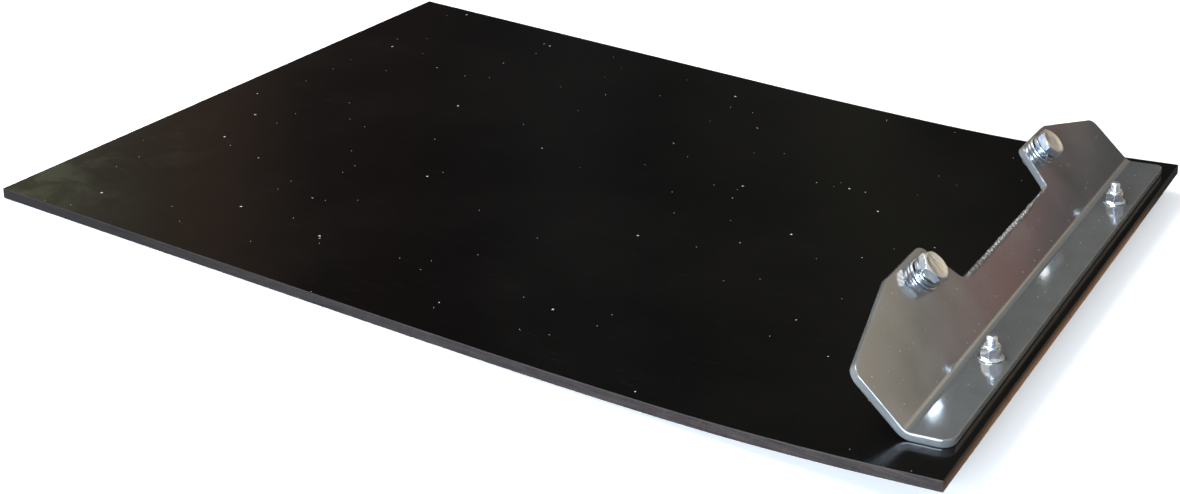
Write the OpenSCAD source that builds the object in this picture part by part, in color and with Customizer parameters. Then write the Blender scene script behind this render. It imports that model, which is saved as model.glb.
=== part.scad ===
// Side extension panel for a small plow blade: a stiff plastic sheet with a
// bent steel end bracket held on by two carriage bolts and lock nuts, and two
// mounting bolts screwed through the ears of the bracket's raised leg.
// Units are millimetres. +X runs along the sheet's long side towards the
// bracket, +Y along its short side, +Z up. The sheet's straight part rests on
// Z = 0 and the origin is the centre of the sheet's outline on that plane.
// "Near" is the -Y side and "far" the +Y side; "outboard" is towards +X.

/* [Panel] */
// Length of the sheet, measured along its underside
panel_len = 600; // [480:5:760]
// Width of the sheet, along the bracket
panel_w = 457; // [440:1:560]
// Thickness of the sheet
panel_t = 6.35; // [5:0.05:10]
// Straight length of sheet that the bracket clamps
end_flat = 32; // [31:1:40]
// Length of the tighter curve next to the clamped end
tight_len = 133; // [80:1:160]
// Angle turned in the tighter curve, in degrees
tight_ang = 4.7; // [1:0.1:8]
// Length of the gentler curve, between the straight part and the tighter curve
soft_len = 140; // [80:1:160]
// Angle turned in the gentler curve, in degrees
soft_ang = 1.4; // [0.5:0.1:3]

/* [Bracket] */
// Length of the bracket along the sheet's end
bracket_len = 410.5; // [408:0.5:420]
// How far the bracket's middle sits towards +Y from the sheet's middle
bracket_shift = 5; // [0:0.5:8]
// Thickness of the steel plate
plate_t = 4.75; // [3:0.05:5]
// Gap between the sheet's end edge and the foot's outer edge
foot_margin = 6; // [4:0.5:8]
// Width of the foot, up to the line where its top meets the leg's face
foot_w = 23.2; // [22:0.1:24]
// Angle the leg is bent up from the foot's plane, in degrees
leg_bend = 45; // [30:1:60]
// Inside radius of the bend
bend_r = 5; // [3:0.5:6]
// Height of the leg's near end edge, measured along the leg
side_h_near = 39; // [34:0.5:42]
// Height of the leg's far end edge
side_h_far = 35.7; // [32:0.1:40]
// Height of the near ear
ear_h_near = 58.6; // [57:0.1:64]
// Height of the far ear
ear_h_far = 55.8; // [55:0.1:62]
// Height of the notch floor between the ears
notch_h = 28.9; // [24:0.1:34]
// Corner radius of the far ear's near tip; the near ear's is 2 mm larger
tip_r = 6; // [3:0.5:7]
// Corner radius of the leg's end edges and of the foot's near corner
end_r = 8; // [4:0.5:9]
// Height of the ear holes, measured along the leg
ear_hole_h = 46; // [44:0.5:47]

/* [Hardware] */
// Thread diameter of the two mounting bolts
bolt_d = 10; // [9.6:0.1:10]
// Length of the mounting bolts under the head
bolt_len = 18; // [16:1:20]
// Width across flats of the mounting bolt heads
bolt_af = 17; // [16:0.5:17.5]
// Height of the mounting bolt heads
bolt_head_h = 5.4; // [5:0.1:7]
// Outside diameter of the flat washers
flat_d = 20; // [19:0.5:20.5]
// Thickness of the flat washers
flat_t = 2; // [1.6:0.1:2.4]
// Outside diameter of the split lock washers
lock_d = 18; // [16.5:0.5:18.5]
// Height of the split lock washers as they stand, not yet flattened
lock_t = 3.4; // [2:0.1:3.6]
// Thread diameter of the carriage bolts
stud_d = 6; // [5.6:0.1:6]
// Length of the carriage bolts under the dome
stud_len = 24.1; // [23:0.1:28]
// Width across flats of the flanged lock nuts
lock_nut_af = 10; // [9.5:0.1:10.2]
// Diameter of the flange on the lock nuts
flange_d = 14.2; // [13.5:0.1:15]
// Height of the flanged lock nuts
lock_nut_h = 7.9; // [7.4:0.1:8.4]

/* [Hidden] */
$fn = 64;

over = 1;             // how far cutters run past the faces they open
gap = 0.05;           // clearance of threads
seat = 0.01;          // gap left between the foot and the sheet
corner_steps = 8;     // segments in a rounded corner
bend_steps = 16;      // segments in the plate's bend
soft_steps = 10;      // segments in the sheet's gentler curve
tight_steps = 30;     // segments in the sheet's tighter curve

// Places of the fasteners along Y, from the sheet's middle
stud_y_near = -106.5;
stud_y_far = 134;
ear_y_near = -91.5;
ear_y_far = 118.5;
stud_x = -18.1;       // carriage bolts, along the sheet from its end edge

bracket_y_near = bracket_shift - bracket_len / 2;
bend_x = -(foot_margin + foot_w);             // where foot top meets leg face
bend_setback = bend_r * tan(leg_bend / 2);    // from there to the bend's tangents
bend_centre = [bend_x + bend_setback, plate_t + bend_r];
leg_blank_h = ear_h_near + ear_h_far;         // leg height before cutting, with plenty to spare

washers_t = flat_t + lock_t;
ear_hole_d = bolt_d + 2 * gap;                // threaded holes in the ears, drawn plain
free_thread_d = bolt_d - 0.34;                // slimmer free end of the mounting bolts

collar_r = lock_nut_af * 0.485;               // round top of the lock nut
collar_chamfer = 0.6;
neck_side = stud_d + 0.4;                     // square neck of the carriage bolts

// ---- Sheet profile ----

// Stations on the sheet's underside: [x, z, slope angle].
// Point at the given slope on an arc that curves upwards from a start station
function arc_station(start, radius, slope) =
    [start[0] + radius * (sin(slope) - sin(start[2])),
     start[1] + radius * (cos(start[2]) - cos(slope)),
     slope];
function arc_radius(length, angle) = length / (angle * PI / 180);

end_ang = tight_ang + soft_ang;
soft_radius = arc_radius(soft_len, soft_ang);
tight_radius = arc_radius(tight_len, tight_ang);
soft_start = [panel_len - end_flat - tight_len - soft_len, 0, 0];
tight_start = arc_station(soft_start, soft_radius, soft_ang);
flat_start = arc_station(tight_start, tight_radius, end_ang);
end_x = flat_start[0] + end_flat * cos(end_ang);
end_z = flat_start[1] + end_flat * sin(end_ang);

underside = concat(
    [[0, 0, 0]],
    [for (i = [0 : soft_steps])
        arc_station(soft_start, soft_radius, soft_ang * i / soft_steps)],
    [for (i = [1 : tight_steps])
        arc_station(tight_start, tight_radius, soft_ang + tight_ang * i / tight_steps)],
    [[end_x, end_z, end_ang]]);

// Point square above a station, by the given distance
function above(station, height) =
    [station[0] - height * sin(station[2]), station[1] + height * cos(station[2])];
panel_outline = concat(
    [for (station = underside) above(station, 0)],
    [for (i = [len(underside) - 1 : -1 : 0]) above(underside[i], panel_t)]);

// ---- Frames ----

// Sheet's top face at its bracket end: +X outwards along the sheet, +Z square to it
module at_end() {
    translate([end_x / 2 - panel_t * sin(end_ang), 0, end_z + panel_t * cos(end_ang)])
        rotate([0, -end_ang, 0]) children();
}

// Leg's outboard face at the bend line: -X up the leg, +Z square to the face
module on_leg() {
    at_end() translate([bend_x, 0, plate_t]) rotate([0, leg_bend, 0]) children();
}

// Ear hole, on the leg's outboard face
module at_ear(y) {
    on_leg() translate([-ear_hole_h, y, 0]) children();
}

// Foot hole, on the foot's top face
module at_stud(y) {
    at_end() translate([stud_x, y, plate_t]) children();
}

// ---- Shared shapes ----

// Cutter for a round hole right through the material between two heights
module bore(diameter, bottom, top) {
    translate([0, 0, bottom - over]) cylinder(d = diameter, h = top - bottom + 2 * over);
}

// Square bar about the Z axis between two heights
module square_bar(side, bottom, top) {
    translate([-side / 2, -side / 2, bottom]) cube([side, side, top - bottom]);
}

// Hexagonal prism whose top corners are chamfered at 30 degrees
module hex_body(across_flats, height, turn) {
    corner_r = across_flats / sqrt(3);
    face_r = across_flats * 0.475;
    chamfer_h = (corner_r - face_r) * tan(30);
    outer_r = corner_r + 0.01;
    intersection() {
        rotate([0, 0, turn]) cylinder(r = corner_r, h = height, $fn = 6);
        rotate_extrude() polygon([[0, 0], [outer_r, 0], [outer_r, height - chamfer_h],
            [face_r, height], [0, height]]);
    }
}

// Points of the arc that rounds the corner at tip, between its two neighbours
function unit(v) = v / norm(v);
function corner(before, tip, after, radius) =
    let (to_before = unit(before - tip),
         to_after = unit(after - tip),
         half = acos(to_before * to_after) / 2,
         centre = tip + unit(to_before + to_after) * (radius / sin(half)),
         setback = radius / tan(half),
         first = tip + to_before * setback - centre,
         last = tip + to_after * setback - centre,
         start = atan2(first[1], first[0]),
         turn = atan2(last[1], last[0]) - start,
         sweep = turn > 180 ? turn - 360 : (turn < -180 ? turn + 360 : turn))
    [for (i = [0 : corner_steps])
        let (angle = start + sweep * i / corner_steps)
        centre + radius * [cos(angle), sin(angle)]];

// ---- Sheet ----

// Plastic sheet, straight for most of its length and curved up to the end
module poly_panel() {
    square_hole_depth = 4.2;
    color([0.055, 0.052, 0.055]) difference() {
        translate([-end_x / 2, panel_w / 2, 0]) rotate([90, 0, 0])
            linear_extrude(height = panel_w) polygon(panel_outline);
        for (y = [stud_y_near, stud_y_far]) at_end() translate([stud_x, y, 0]) {
            bore(stud_d + 0.4, -panel_t, 0);
            square_bar(neck_side + 0.2, -panel_t - over, -panel_t + square_hole_depth);
        }
    }
}

// ---- Bracket ----

// Cross-section of the bent plate: foot, bend and leg as one closed outline
function bend_point(radius, i) =
    let (angle = 270 - leg_bend * i / bend_steps)
    bend_centre + radius * [cos(angle), sin(angle)];
function leg_point(height, depth) = [bend_x, plate_t]
    + height * [-cos(leg_bend), sin(leg_bend)]
    - depth * [sin(leg_bend), cos(leg_bend)];
bracket_section = concat(
    [[-foot_margin, seat], [-foot_margin, plate_t]],
    [for (i = [0 : bend_steps]) bend_point(bend_r, i)],
    [leg_point(leg_blank_h, 0), leg_point(leg_blank_h, plate_t - seat)],
    [for (i = [bend_steps : -1 : 0]) bend_point(bend_r + plate_t - seat, i)]);

// Corners of the leg's edge: [height up the leg, distance along it from the
// near end, corner radius]. The first and last only give a direction.
leg_corners = [
    [bend_setback, 0, 0],
    [side_h_near, 0, end_r],
    [ear_h_near, 79.6, 5],                // near ear
    [ear_h_near, 127, tip_r + 2],
    [notch_h, 140.6, 6],                  // notch floor
    [notch_h, 293.6, 3],
    [ear_h_far, 301.6, tip_r],            // far ear
    [ear_h_far, 346.7, 5],
    [side_h_far, bracket_len, end_r],
    [bend_setback, bracket_len, 0]];
function leg_tip(i) = [-leg_corners[i][0], leg_corners[i][1]];
leg_edge = [for (i = [1 : len(leg_corners) - 2])
    each corner(leg_tip(i - 1), leg_tip(i), leg_tip(i + 1), leg_corners[i][2])];

// Plate cut away above the leg's edge, and how far it runs past the bracket
waste_over = 3;
waste_top = -leg_blank_h - 5;
leg_waste = concat(
    [[leg_edge[0][0], -waste_over]],
    leg_edge,
    [[leg_edge[len(leg_edge) - 1][0], bracket_len + waste_over],
     [waste_top, bracket_len + waste_over],
     [waste_top, -waste_over]]);

// Waste outside a rounded outboard corner of the foot, drawn for the near end
module foot_corner(radius) {
    edge = -foot_margin;
    side = 20;    // any length longer than the radius
    arc = corner([edge - side, 0], [edge, 0], [edge, side], radius);
    translate([0, 0, -over]) linear_extrude(height = plate_t + 2 * over)
        polygon(concat(arc, [[edge + waste_over, radius], [edge + waste_over, -waste_over],
            [edge - radius, -waste_over]]));
}

// Bent steel plate: foot, bend and leg with two ears
module end_bracket() {
    bracket_y_far = bracket_y_near + bracket_len;
    color([0.34, 0.34, 0.33]) difference() {
        at_end() translate([0, bracket_y_far, 0]) rotate([90, 0, 0])
            linear_extrude(height = bracket_len) polygon(bracket_section);
        on_leg() translate([0, bracket_y_near, -plate_t - over])
            linear_extrude(height = plate_t + 2 * over) polygon(leg_waste);
        at_end() translate([0, bracket_y_near, 0]) foot_corner(end_r);
        at_end() translate([0, bracket_y_far, 0]) mirror([0, 1, 0]) foot_corner(5);
        for (y = [ear_y_near, ear_y_far]) at_ear(y) bore(ear_hole_d, -plate_t, 0);
        for (y = [stud_y_near, stud_y_far]) at_stud(y) bore(stud_d + 0.5, -plate_t, 0);
    }
}

// ---- Hardware ----

// Carriage bolt: dome under the sheet, square neck in it, thread pointing up
module carriage_bolt(y) {
    dome_r = 8.2;
    dome_h = 3.8;
    neck_h = 3.8;
    root = 0.5;      // neck and thread start this far inside the dome
    chamfer = 0.7;
    sphere_r = (dome_r * dome_r + dome_h * dome_h) / (2 * dome_h);
    color([0.78, 0.79, 0.80]) at_stud(y) translate([0, 0, -plate_t - panel_t]) {
        difference() {
            translate([0, 0, sphere_r - dome_h]) sphere(r = sphere_r);
            translate([-2 * sphere_r, -2 * sphere_r, 0]) cube(4 * sphere_r);
        }
        square_bar(neck_side, -root, neck_h);
        translate([0, 0, -root]) cylinder(d = stud_d, h = stud_len - chamfer + root);
        translate([0, 0, stud_len - chamfer])
            cylinder(d1 = stud_d, d2 = stud_d - 2 * chamfer, h = chamfer);
    }
}
module carriage_bolt_near() { carriage_bolt(stud_y_near); }
module carriage_bolt_far() { carriage_bolt(stud_y_far); }

// Lock nut: hexagon on a flared flange, with a round collar over the insert
module flange_nut(y, turn) {
    hex_top = 6.6;
    flange_h = 1.7;
    collar_base = lock_nut_h - collar_chamfer;
    color([0.80, 0.81, 0.82]) at_stud(y) difference() {
        union() {
            rotate_extrude() polygon([[0, 0], [flange_d / 2 - 0.3, 0], [flange_d / 2, 0.4],
                [flange_d / 2, 0.9], [lock_nut_af / 2 + 0.7, flange_h], [0, flange_h]]);
            hex_body(lock_nut_af, hex_top, turn);
            cylinder(r = collar_r, h = collar_base);
            translate([0, 0, collar_base])
                cylinder(r1 = collar_r, r2 = collar_r - 0.7, h = collar_chamfer);
        }
        translate([0, 0, -over]) cylinder(d = stud_d + 2 * gap, h = lock_nut_h);
        // Pocket for the insert, then the narrower mouth above it
        translate([0, 0, lock_nut_h - 2.3]) cylinder(r = collar_r - 0.7, h = 1.7);
        translate([0, 0, lock_nut_h - 1]) cylinder(r = collar_r - 1.0, h = 2);
    }
}
module flange_nut_near() { flange_nut(stud_y_near, 36); }
module flange_nut_far() { flange_nut(stud_y_far, 41); }

// Nylon ring held in the lock nut's collar
module nylon_insert(y) {
    insert_h = 1.64;
    color([0.86, 0.87, 0.88]) at_stud(y) translate([0, 0, lock_nut_h - 2.28]) difference() {
        cylinder(r = lock_nut_af * 0.47 - 0.72, h = insert_h);
        bore(stud_d + gap, 0, insert_h);
    }
}
module nylon_insert_near() { nylon_insert(stud_y_near); }
module nylon_insert_far() { nylon_insert(stud_y_far); }

// Mounting bolt: hexagon head on the outboard side, thread screwed through the
// ear, and a free end behind it
module mounting_bolt(y, turn) {
    free_from = washers_t + plate_t + 0.3;
    tip_h = 1;
    lap = 1;         // overlap of each stretch with the one above it
    color([0.80, 0.80, 0.79]) at_ear(y) translate([0, 0, washers_t]) {
        hex_body(bolt_af, bolt_head_h, turn);
        translate([0, 0, -free_from]) cylinder(d = bolt_d, h = free_from + lap);
        translate([0, 0, tip_h - bolt_len])
            cylinder(d = free_thread_d, h = bolt_len - tip_h - free_from + lap);
        translate([0, 0, -bolt_len]) cylinder(d1 = bolt_d - 2, d2 = free_thread_d, h = tip_h);
    }
}
module mounting_bolt_near() { mounting_bolt(ear_y_near, 12); }
module mounting_bolt_far() { mounting_bolt(ear_y_far, 35); }

// Split lock washer under the bolt head; turn places the split
module lock_washer(y, turn) {
    split_w = 1.6;
    color([0.70, 0.71, 0.72]) at_ear(y) translate([0, 0, flat_t]) difference() {
        cylinder(d = lock_d, h = lock_t);
        bore(bolt_d + 0.2, 0, lock_t);
        rotate([0, 0, turn]) translate([0, -split_w / 2, -over])
            cube([lock_d, split_w, lock_t + 2 * over]);
    }
}
module lock_washer_near() { lock_washer(ear_y_near, 250); }
module lock_washer_far() { lock_washer(ear_y_far, 300); }

// Flat washer against the leg
module flat_washer(y) {
    color([0.76, 0.77, 0.78]) at_ear(y) difference() {
        cylinder(d = flat_d, h = flat_t);
        bore(bolt_d + 0.5, 0, flat_t);
    }
}
module flat_washer_near() { flat_washer(ear_y_near); }
module flat_washer_far() { flat_washer(ear_y_far); }

poly_panel();
end_bracket();
carriage_bolt_near();
carriage_bolt_far();
flange_nut_near();
flange_nut_far();
nylon_insert_near();
nylon_insert_far();
mounting_bolt_near();
mounting_bolt_far();
lock_washer_near();
lock_washer_far();
flat_washer_near();
flat_washer_far();
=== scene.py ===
"""A black plastic sheet with a grey bent bracket bolted across one end.

The sheet lies flat along X, centred on X and Y, with its underside at Z = 0. Its +X end curves
gently upwards. The bracket's foot is bolted on top of that end, and its leg leans back over the
sheet. "near" parts lie towards -Y, "far" parts towards +Y. Sizes are in mm until a mesh is made.
"""

import math

import bmesh
import bpy
import numpy as np
from mathutils import Matrix, Vector
from mathutils.geometry import delaunay_2d_cdt


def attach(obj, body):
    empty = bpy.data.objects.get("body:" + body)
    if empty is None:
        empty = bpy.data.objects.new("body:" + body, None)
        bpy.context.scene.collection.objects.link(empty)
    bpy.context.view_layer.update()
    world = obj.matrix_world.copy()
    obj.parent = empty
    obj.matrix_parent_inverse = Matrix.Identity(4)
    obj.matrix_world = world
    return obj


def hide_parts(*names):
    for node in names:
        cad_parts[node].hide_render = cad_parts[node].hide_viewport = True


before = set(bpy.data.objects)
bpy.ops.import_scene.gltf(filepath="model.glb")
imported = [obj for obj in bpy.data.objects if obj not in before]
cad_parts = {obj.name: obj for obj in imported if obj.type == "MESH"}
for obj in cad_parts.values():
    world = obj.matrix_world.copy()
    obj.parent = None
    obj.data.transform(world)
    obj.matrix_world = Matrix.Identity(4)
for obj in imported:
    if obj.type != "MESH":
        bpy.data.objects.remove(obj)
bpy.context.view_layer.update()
scene = bpy.context.scene
PI = math.pi
MM = 0.001

# ---------------------------------------------------------------- sizes
PANEL_LEN, PANEL_W, PANEL_T = 600.0, 457.0, 6.35
# from the +X end backwards: a flat strip, a tight bend, a soft bend, then the straight part
END_FLAT = 32.0
TIGHT_LEN, TIGHT_DEG = 133.0, 4.7
SOFT_LEN, SOFT_DEG = 140.0, 1.4
STRAIGHT = PANEL_LEN - END_FLAT - TIGHT_LEN - SOFT_LEN
SOFT_R = SOFT_LEN / math.radians(SOFT_DEG)
TIGHT_R = TIGHT_LEN / math.radians(TIGHT_DEG)
END_SLOPE = math.radians(TIGHT_DEG + SOFT_DEG)

BRACKET_LEN, BRACKET_SHIFT = 410.5, 5.0    # along Y, and its centre's offset towards +Y
PLATE_T, SEAT_GAP = 4.75, 0.01
MARGIN = 6.0                               # sheet left bare beyond the foot
FOOT_W = 23.2
BEND, BEND_R = math.radians(45), 7.0       # angle and inside radius
BEND_X = -(MARGIN + FOOT_W)
BEND_TANGENT = BEND_R * math.tan(BEND / 2)
NOTCH = 28.9                               # leg height left below the notch

EAR_Y = {"near": -91.5, "far": 118.5}      # bolts in the leg
EAR_UP = 46.0
STUD_Y = {"near": -106.5, "far": 134.0}    # bolts through foot and sheet
STUD_X = -18.1                             # from the sheet's +X end
WASHER_STACK = 5.4


def rot_y(angle):
    c, s = math.cos(angle), math.sin(angle)
    return np.array([[c, 0, s], [0, 1, 0], [-s, 0, c]])


def rot_z(angle):
    c, s = math.cos(angle), math.sin(angle)
    return np.array([[c, -s, 0], [s, c, 0], [0, 0, 1.0]])


def underside(along):
    """x, z and slope of the sheet's underside at distances measured along it."""
    soft = math.radians(SOFT_DEG)
    soft_end, flat_start = STRAIGHT + SOFT_LEN, PANEL_LEN - END_FLAT
    parts = [along <= STRAIGHT, along <= soft_end, along <= flat_start]
    in_soft = (along - STRAIGHT) / SOFT_R
    in_tight = soft + (along - STRAIGHT - SOFT_LEN) / TIGHT_R
    soft_x = STRAIGHT + SOFT_R * math.sin(soft)
    soft_z = SOFT_R * (1 - math.cos(soft))
    tight_x = soft_x + TIGHT_R * (math.sin(END_SLOPE) - math.sin(soft))
    tight_z = soft_z + TIGHT_R * (math.cos(soft) - math.cos(END_SLOPE))
    past = along - flat_start
    x = np.select(parts, [along, STRAIGHT + SOFT_R * np.sin(in_soft),
                          soft_x + TIGHT_R * (np.sin(in_tight) - math.sin(soft))],
                  tight_x + past * math.cos(END_SLOPE))
    z = np.select(parts, [0.0 * along, SOFT_R * (1 - np.cos(in_soft)),
                          soft_z + TIGHT_R * (math.cos(soft) - np.cos(in_tight))],
                  tight_z + past * math.sin(END_SLOPE))
    slope = np.select(parts, [0.0 * along, in_soft, in_tight], END_SLOPE)
    return x, z, slope


END_X, END_Z = (float(value[0]) for value in underside(np.array([PANEL_LEN]))[:2])
# the top edge of the sheet's +X end, and the turn that lays X along its slope
END_AT = np.array([END_X / 2 - PANEL_T * math.sin(END_SLOPE), 0,
                   END_Z + PANEL_T * math.cos(END_SLOPE)])
END_TURN = rot_y(-END_SLOPE)
# the leg's outer face: its -X runs up the leg
LEG_AT = END_AT + END_TURN @ np.array([BEND_X, 0, PLATE_T])
LEG_TURN = END_TURN @ rot_y(BEND)


def at_ear(which):
    return LEG_AT + LEG_TURN @ np.array([-EAR_UP, EAR_Y[which], 0]), LEG_TURN


def at_stud(which):
    return END_AT + END_TURN @ np.array([STUD_X, STUD_Y[which], PLATE_T]), END_TURN


# ---------------------------------------------------------------- objects
def new_mesh(name, points, faces, materials):
    mesh = bpy.data.meshes.new(name)
    mesh.from_pydata((np.asarray(points) * MM).tolist(), [],
                     [list(map(int, face)) for face in faces])
    mesh.validate()
    for material in materials:
        mesh.materials.append(material)
    mesh.polygons.foreach_set("use_smooth", np.ones(len(mesh.polygons), bool))
    mesh.update()
    return mesh


def add_object(name, mesh, body, piece):
    obj = bpy.data.objects.new(name, mesh)
    scene.collection.objects.link(obj)
    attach(obj, body)
    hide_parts(piece)
    return obj


def plate_object(name, shape, materials, piece):
    """Object from plate(); a second material goes on the cut edges."""
    points, faces, normals, is_edge = shape
    mesh = new_mesh(name, points, faces, materials)
    if len(materials) > 1:
        mesh.polygons.foreach_set("material_index", np.asarray(is_edge, np.int32))
        mesh.update()
    vertex_normals = np.zeros(len(mesh.vertices) * 3, np.float32)
    mesh.vertex_normals.foreach_get("vector", vertex_normals)
    vertex_normals = vertex_normals.reshape(-1, 3)
    known = ~np.isnan(normals[:, 0])
    vertex_normals[known] = normals[known]
    add_object(name, mesh, "panel_assembly", piece)
    mesh.normals_split_custom_set_from_vertices(vertex_normals.tolist())


def hardware_object(name, points, faces, material, body, piece, sharp_deg):
    mesh = new_mesh(name, points, faces, [material])
    bm = bmesh.new()
    bm.from_mesh(mesh)
    bmesh.ops.recalc_face_normals(bm, faces=bm.faces)
    for edge in bm.edges:
        if len(edge.link_faces) == 2:
            edge.smooth = edge.calc_face_angle(0.0) < math.radians(sharp_deg)
    bm.to_mesh(mesh)
    bm.free()
    obj = add_object(name, mesh, body, piece)
    weighted = obj.modifiers.new("weighted normals", "WEIGHTED_NORMAL")
    weighted.mode = "FACE_AREA_WITH_ANGLE"
    weighted.weight = 50
    weighted.keep_sharp = True


# ---------------------------------------------------------------- flat outlines
def corner(before, point, after, radius, steps):
    """Arc that rounds off one corner."""
    u = (before - point) / np.linalg.norm(before - point)
    v = (after - point) / np.linalg.norm(after - point)
    half = math.acos(float(u @ v)) / 2
    middle = (u + v) / np.linalg.norm(u + v)
    centre = point + middle * (radius / math.sin(half))
    start = point + u * (radius / math.tan(half)) - centre
    end = point + v * (radius / math.tan(half)) - centre
    first = math.atan2(start[1], start[0])
    sweep = math.atan2(end[1], end[0]) - first
    if sweep > PI:
        sweep -= 2 * PI
    elif sweep < -PI:
        sweep += 2 * PI
    angles = [first + sweep * i / steps for i in range(steps + 1)]
    return [centre + radius * np.array([math.cos(a), math.sin(a)]) for a in angles]


def rounded(points, radii, steps):
    points = [np.array(p, float) for p in points]
    out = []
    for i, point in enumerate(points):
        out += corner(points[i - 1], point, points[(i + 1) % len(points)], radii[i], steps)
    return np.array(out)


def resample(loop, spacing):
    """Adds points along a closed loop, each spacing(last point) after the last."""
    out = []
    for i, start in enumerate(loop):
        step = loop[(i + 1) % len(loop)] - start
        length = np.linalg.norm(step)
        fractions, travelled = [0.0], 0.0
        while True:
            travelled += spacing(start + step * min(1, travelled / max(length, 1e-9)))
            if travelled >= length * 0.999:
                break
            fractions.append(travelled / length)
        out += [start + step * f for f in fractions]
    out = np.array(out)
    keep = np.linalg.norm(out - np.roll(out, 1, axis=0), axis=1) > 1e-4
    return out[keep]


def round_hole(x, y, radius, count):
    a = np.linspace(0, 2 * PI, count, endpoint=False)
    return np.stack([x + radius * np.cos(a), y + radius * np.sin(a)], 1)[::-1]


def grid_points(us, vs):
    return np.stack(np.meshgrid(us, vs, indexing="ij"), -1).reshape(-1, 2)


def inside(points, loop):
    x, y = points[:, 0][:, None], points[:, 1][:, None]
    x0, y0 = loop[:, 0][None], loop[:, 1][None]
    x1, y1 = np.roll(loop[:, 0], -1)[None], np.roll(loop[:, 1], -1)[None]
    crossed = ((y0 > y) != (y1 > y)) & (x < (x1 - x0) * (y - y0) / (y1 - y0 + 1e-30) + x0)
    return crossed.sum(1) % 2 == 1


def in_material(points, loops):
    """Inside the first loop and outside all the others."""
    ok = inside(points, loops[0])
    for hole in loops[1:]:
        ok &= ~inside(points, hole)
    return ok


def material_on_left(loop, is_hole):
    x, y = loop[:, 0], loop[:, 1]
    return (np.sum(x * np.roll(y, -1) - np.roll(x, -1) * y) > 0) != is_hole


def inward(loop, is_hole):
    """Mitre vectors pointing into the material."""
    def left_of(step):
        return np.stack([-step[:, 1], step[:, 0]], 1) / np.linalg.norm(step, axis=1)[:, None]

    ahead = left_of(np.roll(loop, -1, axis=0) - loop)
    behind = left_of(loop - np.roll(loop, 1, axis=0))
    mitre = behind + ahead
    mitre /= np.linalg.norm(mitre, axis=1)[:, None]
    stretch = np.clip(1 / np.maximum((mitre * ahead).sum(1), 0.5), 1, 1.6)
    return mitre * stretch[:, None] * (1.0 if material_on_left(loop, is_hole) else -1.0)


def smooth_noise(x, seed, step):
    """Smooth 1-D noise in -1..1 with knots every step mm."""
    knots = np.random.RandomState(seed).uniform(-1, 1, 4096)
    u = np.asarray(x) / step + 50
    i = np.floor(u).astype(int)
    f = u - i
    f = f * f * (3 - 2 * f)
    return knots[i % 4096] * (1 - f) + knots[(i + 1) % 4096] * f


# ---------------------------------------------------------------- plates
def edge_profile(thickness, radius, middle_rings):
    """(inset, height) of each ring round the rim, from the top face to the bottom."""
    ease = radius * (1 - math.sin(PI / 4))
    rings = [(radius, thickness), (ease, thickness - ease), (0, thickness - radius)]
    for i in range(1, middle_rings + 1):
        down = i / (middle_rings + 1.0)
        rings.append((0, radius + (thickness - 2 * radius) * (1 - down)))
    return rings + [(0, radius), (ease, ease), (radius, 0)]


def triangulate(loops, grid, clearance=0.3):
    """Points, triangles turning one way, and each point's source points."""
    border = np.concatenate(loops)
    edges = []
    base = 0
    for loop in loops:
        n = len(loop)
        edges += [(base + i, base + (i + 1) % n) for i in range(n)]
        base += n
    inner = [p.tolist() for p in grid[in_material(grid, loops)]
             if ((p - border) ** 2).sum(1).min() >= clearance ** 2]
    result = delaunay_2d_cdt([Vector(p) for p in border.tolist() + inner], edges, [], 0, 1e-7)
    points = np.array([[v.x, v.y] for v in result[0]])
    triangles = np.array([face for face in result[2] if len(face) == 3])
    triangles = triangles[in_material(points[triangles].mean(1), loops)]
    a, b, c = (points[triangles[:, i]] for i in range(3))
    turn = (b - a)[:, 0] * (c - a)[:, 1] - (b - a)[:, 1] * (c - a)[:, 0]
    triangles[turn < 0] = triangles[turn < 0][:, ::-1]
    return points, triangles, result[3]


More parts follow.
